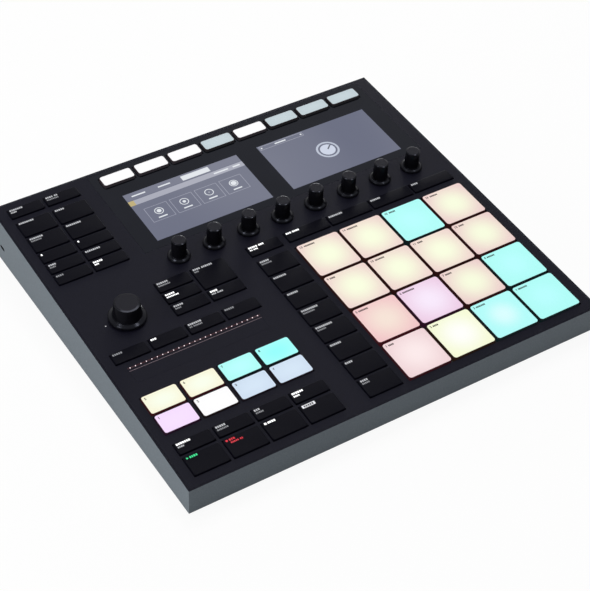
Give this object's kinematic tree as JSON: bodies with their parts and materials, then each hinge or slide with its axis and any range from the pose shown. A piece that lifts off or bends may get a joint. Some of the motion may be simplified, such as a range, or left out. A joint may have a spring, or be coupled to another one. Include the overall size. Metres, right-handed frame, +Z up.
{
  "type": "pad controller",
  "caption": "Wedge-shaped desktop controller with a field of soft lit pads, key blocks, twin displays, turning knobs, a touch strip and rear sockets, for playing and recording music.",
  "frame": {"origin": "centre of the footprint of the whole box, at the bottom of the feet", "axes": "+X to the right and +Y to the rear as the player sees it, +Z up"},
  "size_m": [0.32, 0.2994, 0.0519],
  "materials": {
    "case_grey": "fine grey speckle",
    "panel_black": "fine matte black",
    "base_black": "matte black",
    "window_dark": "glossy smoked",
    "display_grey": "lit display",
    "board_green": "satin",
    "silicone_grey": "soft",
    "key_black": "satin black",
    "key_white": "lit white",
    "encoder_metal": "satin",
    "strip_black": "satin black",
    "foot_rubber": "matte",
    "socket_black": "satin",
    "knob_black": "soft satin",
    "lit_pink": "lit soft",
    "lit_cream": "lit soft",
    "lit_aqua": "lit soft",
    "lit_lilac": "lit soft"
  },
  "bodies": {
    "case": {"case_frame": "case_grey", "rear_panel": "panel_black", "top_panel": "panel_black", "base_plate": "base_black", "display_window": "window_dark", "display_modules": "display_grey", "main_board": "board_green", "pad_frame": "key_black", "pad_sensor_sheet": "silicone_grey", "key_mats": "silicone_grey", "encoder_bodies": "encoder_metal", "touch_strip": "strip_black", "rear_connectors": "socket_black", "rubber_feet": "foot_rubber"},
    "pad_1": {"pad_1": "lit_pink"},
    "pad_2": {"pad_2": "lit_cream"},
    "pad_3": {"pad_3": "lit_aqua"},
    "pad_4": {"pad_4": "lit_aqua"},
    "pad_5": {"pad_5": "lit_pink"},
    "pad_6": {"pad_6": "lit_lilac"},
    "pad_7": {"pad_7": "lit_cream"},
    "pad_8": {"pad_8": "lit_aqua"},
    "pad_9": {"pad_9": "lit_cream"},
    "pad_10": {"pad_10": "lit_cream"},
    "pad_11": {"pad_11": "lit_cream"},
    "pad_12": {"pad_12": "lit_cream"},
    "pad_13": {"pad_13": "lit_cream"},
    "pad_14": {"pad_14": "lit_cream"},
    "pad_15": {"pad_15": "lit_aqua"},
    "pad_16": {"pad_16": "lit_cream"},
    "group_button_1": {"group_button_1": "lit_lilac"},
    "group_button_2": {"group_button_2": "key_white"},
    "group_button_3": {"group_button_3": "key_white"},
    "group_button_4": {"group_button_4": "key_white"},
    "group_button_5": {"group_button_5": "lit_cream"},
    "group_button_6": {"group_button_6": "lit_cream"},
    "group_button_7": {"group_button_7": "lit_aqua"},
    "group_button_8": {"group_button_8": "lit_aqua"},
    "browse_keys": {"browse_keys": "key_black"},
    "display_buttons": {"display_buttons": "key_white"},
    "perform_keys": {"perform_keys": "key_black"},
    "transport_keys": {"transport_keys": "key_black"},
    "pattern_keys": {"pattern_keys": "key_black"},
    "power_button": {"power_button": "key_black"},
    "knob_1": {"knob_1": "knob_black"},
    "knob_2": {"knob_2": "knob_black"},
    "knob_3": {"knob_3": "knob_black"},
    "knob_4": {"knob_4": "knob_black"},
    "knob_5": {"knob_5": "knob_black"},
    "knob_6": {"knob_6": "knob_black"},
    "knob_7": {"knob_7": "knob_black"},
    "knob_8": {"knob_8": "knob_black"},
    "rear_knob_1": {"rear_knob_1": "knob_black"},
    "rear_knob_2": {"rear_knob_2": "knob_black"},
    "rear_knob_3": {"rear_knob_3": "knob_black"},
    "gimbal_ring": {"gimbal_ring": "encoder_metal"},
    "gimbal_cradle": {"gimbal_cradle": "encoder_metal"},
    "encoder_plunger": {"encoder_plunger": "encoder_metal"},
    "main_knob": {"main_knob": "knob_black"}
  },
  "joints": [
    {"name": "pad_1_press", "type": "slide", "parent": "case", "child": "pad_1", "axis": [0, 0.0673, -0.9977], "range_m": [0, 0.0012], "stiffness_N_per_m": 800, "springref_m": -0.0005},
    {"name": "pad_2_press", "type": "slide", "parent": "case", "child": "pad_2", "axis": [0, 0.0673, -0.9977], "range_m": [0, 0.0012], "stiffness_N_per_m": 800, "springref_m": -0.0005},
    {"name": "pad_3_press", "type": "slide", "parent": "case", "child": "pad_3", "axis": [0, 0.0673, -0.9977], "range_m": [0, 0.0012], "stiffness_N_per_m": 800, "springref_m": -0.0005},
    {"name": "pad_4_press", "type": "slide", "parent": "case", "child": "pad_4", "axis": [0, 0.0673, -0.9977], "range_m": [0, 0.0012], "stiffness_N_per_m": 800, "springref_m": -0.0005},
    {"name": "pad_5_press", "type": "slide", "parent": "case", "child": "pad_5", "axis": [0, 0.0673, -0.9977], "range_m": [0, 0.0012], "stiffness_N_per_m": 800, "springref_m": -0.0005},
    {"name": "pad_6_press", "type": "slide", "parent": "case", "child": "pad_6", "axis": [0, 0.0673, -0.9977], "range_m": [0, 0.0012], "stiffness_N_per_m": 800, "springref_m": -0.0005},
    {"name": "pad_7_press", "type": "slide", "parent": "case", "child": "pad_7", "axis": [0, 0.0673, -0.9977], "range_m": [0, 0.0012], "stiffness_N_per_m": 800, "springref_m": -0.0005},
    {"name": "pad_8_press", "type": "slide", "parent": "case", "child": "pad_8", "axis": [0, 0.0673, -0.9977], "range_m": [0, 0.0012], "stiffness_N_per_m": 800, "springref_m": -0.0005},
    {"name": "pad_9_press", "type": "slide", "parent": "case", "child": "pad_9", "axis": [0, 0.0673, -0.9977], "range_m": [0, 0.0012], "stiffness_N_per_m": 800, "springref_m": -0.0005},
    {"name": "pad_10_press", "type": "slide", "parent": "case", "child": "pad_10", "axis": [0, 0.0673, -0.9977], "range_m": [0, 0.0012], "stiffness_N_per_m": 800, "springref_m": -0.0005},
    {"name": "pad_11_press", "type": "slide", "parent": "case", "child": "pad_11", "axis": [0, 0.0673, -0.9977], "range_m": [0, 0.0012], "stiffness_N_per_m": 800, "springref_m": -0.0005},
    {"name": "pad_12_press", "type": "slide", "parent": "case", "child": "pad_12", "axis": [0, 0.0673, -0.9977], "range_m": [0, 0.0012], "stiffness_N_per_m": 800, "springref_m": -0.0005},
    {"name": "pad_13_press", "type": "slide", "parent": "case", "child": "pad_13", "axis": [0, 0.0673, -0.9977], "range_m": [0, 0.0012], "stiffness_N_per_m": 800, "springref_m": -0.0005},
    {"name": "pad_14_press", "type": "slide", "parent": "case", "child": "pad_14", "axis": [0, 0.0673, -0.9977], "range_m": [0, 0.0012], "stiffness_N_per_m": 800, "springref_m": -0.0005},
    {"name": "pad_15_press", "type": "slide", "parent": "case", "child": "pad_15", "axis": [0, 0.0673, -0.9977], "range_m": [0, 0.0012], "stiffness_N_per_m": 800, "springref_m": -0.0005},
    {"name": "pad_16_press", "type": "slide", "parent": "case", "child": "pad_16", "axis": [0, 0.0673, -0.9977], "range_m": [0, 0.0012], "stiffness_N_per_m": 800, "springref_m": -0.0005},
    {"name": "group_button_1_press", "type": "slide", "parent": "case", "child": "group_button_1", "axis": [0, 0.0673, -0.9977], "range_m": [0, 0.0012], "stiffness_N_per_m": 200, "springref_m": -0.001},
    {"name": "group_button_2_press", "type": "slide", "parent": "case", "child": "group_button_2", "axis": [0, 0.0673, -0.9977], "range_m": [0, 0.0012], "stiffness_N_per_m": 200, "springref_m": -0.001},
    {"name": "group_button_3_press", "type": "slide", "parent": "case", "child": "group_button_3", "axis": [0, 0.0673, -0.9977], "range_m": [0, 0.0012], "stiffness_N_per_m": 200, "springref_m": -0.001},
    {"name": "group_button_4_press", "type": "slide", "parent": "case", "child": "group_button_4", "axis": [0, 0.0673, -0.9977], "range_m": [0, 0.0012], "stiffness_N_per_m": 200, "springref_m": -0.001},
    {"name": "group_button_5_press", "type": "slide", "parent": "case", "child": "group_button_5", "axis": [0, 0.0673, -0.9977], "range_m": [0, 0.0012], "stiffness_N_per_m": 200, "springref_m": -0.001},
    {"name": "group_button_6_press", "type": "slide", "parent": "case", "child": "group_button_6", "axis": [0, 0.0673, -0.9977], "range_m": [0, 0.0012], "stiffness_N_per_m": 200, "springref_m": -0.001},
    {"name": "group_button_7_press", "type": "slide", "parent": "case", "child": "group_button_7", "axis": [0, 0.0673, -0.9977], "range_m": [0, 0.0012], "stiffness_N_per_m": 200, "springref_m": -0.001},
    {"name": "group_button_8_press", "type": "slide", "parent": "case", "child": "group_button_8", "axis": [0, 0.0673, -0.9977], "range_m": [0, 0.0012], "stiffness_N_per_m": 200, "springref_m": -0.001},
    {"name": "browse_keys_press", "type": "slide", "parent": "case", "child": "browse_keys", "axis": [0, 0.0673, -0.9977], "range_m": [0, 0.0012], "stiffness_N_per_m": 2400, "springref_m": -0.001},
    {"name": "display_buttons_press", "type": "slide", "parent": "case", "child": "display_buttons", "axis": [0, 0.0673, -0.9977], "range_m": [0, 0.0012], "stiffness_N_per_m": 1600, "springref_m": -0.001},
    {"name": "perform_keys_press", "type": "slide", "parent": "case", "child": "perform_keys", "axis": [0, 0.0673, -0.9977], "range_m": [0, 0.0012], "stiffness_N_per_m": 1800, "springref_m": -0.001},
    {"name": "transport_keys_press", "type": "slide", "parent": "case", "child": "transport_keys", "axis": [0, 0.0673, -0.9977], "range_m": [0, 0.0012], "stiffness_N_per_m": 1600, "springref_m": -0.001},
    {"name": "pattern_keys_press", "type": "slide", "parent": "case", "child": "pattern_keys", "axis": [0, 0.0673, -0.9977], "range_m": [0, 0.0012], "stiffness_N_per_m": 2600, "springref_m": -0.001},
    {"name": "power_button_press", "type": "slide", "parent": "case", "child": "power_button", "axis": [0, -1, 0], "range_m": [0, 0.002], "stiffness_N_per_m": 300, "springref_m": -0.001},
    {"name": "knob_1_turn", "type": "hinge", "parent": "case", "child": "knob_1", "pos_m": [-0.0661, 0.03311, 0.03588], "axis": [0, -0.0673, 0.9977], "continuous": true},
    {"name": "knob_2_turn", "type": "hinge", "parent": "case", "child": "knob_2", "pos_m": [-0.038, 0.03311, 0.03588], "axis": [0, -0.0673, 0.9977], "continuous": true},
    {"name": "knob_3_turn", "type": "hinge", "parent": "case", "child": "knob_3", "pos_m": [-0.0099, 0.03311, 0.03588], "axis": [0, -0.0673, 0.9977], "continuous": true},
    {"name": "knob_4_turn", "type": "hinge", "parent": "case", "child": "knob_4", "pos_m": [0.0182, 0.03311, 0.03588], "axis": [0, -0.0673, 0.9977], "continuous": true},
    {"name": "knob_5_turn", "type": "hinge", "parent": "case", "child": "knob_5", "pos_m": [0.0463, 0.03311, 0.03588], "axis": [0, -0.0673, 0.9977], "continuous": true},
    {"name": "knob_6_turn", "type": "hinge", "parent": "case", "child": "knob_6", "pos_m": [0.0744, 0.03311, 0.03588], "axis": [0, -0.0673, 0.9977], "continuous": true},
    {"name": "knob_7_turn", "type": "hinge", "parent": "case", "child": "knob_7", "pos_m": [0.1025, 0.03311, 0.03588], "axis": [0, -0.0673, 0.9977], "continuous": true},
    {"name": "knob_8_turn", "type": "hinge", "parent": "case", "child": "knob_8", "pos_m": [0.1306, 0.03311, 0.03588], "axis": [0, -0.0673, 0.9977], "continuous": true},
    {"name": "rear_knob_1_turn", "type": "hinge", "parent": "case", "child": "rear_knob_1", "pos_m": [0.072, 0.14067, 0.019], "axis": [0, 1, 0], "range_deg": [-150, 150]},
    {"name": "rear_knob_2_turn", "type": "hinge", "parent": "case", "child": "rear_knob_2", "pos_m": [0.09, 0.14067, 0.019], "axis": [0, 1, 0], "range_deg": [-150, 150]},
    {"name": "rear_knob_3_turn", "type": "hinge", "parent": "case", "child": "rear_knob_3", "pos_m": [0.108, 0.14067, 0.019], "axis": [0, 1, 0], "range_deg": [-150, 150]},
    {"name": "nudge_front_back", "type": "hinge", "parent": "case", "child": "gimbal_ring", "pos_m": [-0.1247, -0.00159, 0.02803], "axis": [1, 0, 0], "range_deg": [-2.5, 2.5], "stiffness_Nm_per_rad": 0.5},
    {"name": "nudge_left_right", "type": "hinge", "parent": "gimbal_ring", "child": "gimbal_cradle", "pos_m": [-0.1247, -0.00159, 0.02803], "axis": [0, 0.9977, 0.0673], "range_deg": [-2.5, 2.5], "stiffness_Nm_per_rad": 0.5},
    {"name": "main_knob_push", "type": "slide", "parent": "gimbal_cradle", "child": "encoder_plunger", "axis": [0, 0.0673, -0.9977], "range_m": [0, 0.0005], "stiffness_N_per_m": 1500, "springref_m": -0.0005},
    {"name": "main_knob_turn", "type": "hinge", "parent": "encoder_plunger", "child": "main_knob", "pos_m": [-0.1247, -0.00159, 0.02803], "axis": [0, -0.0673, 0.9977], "continuous": true}
  ]
}
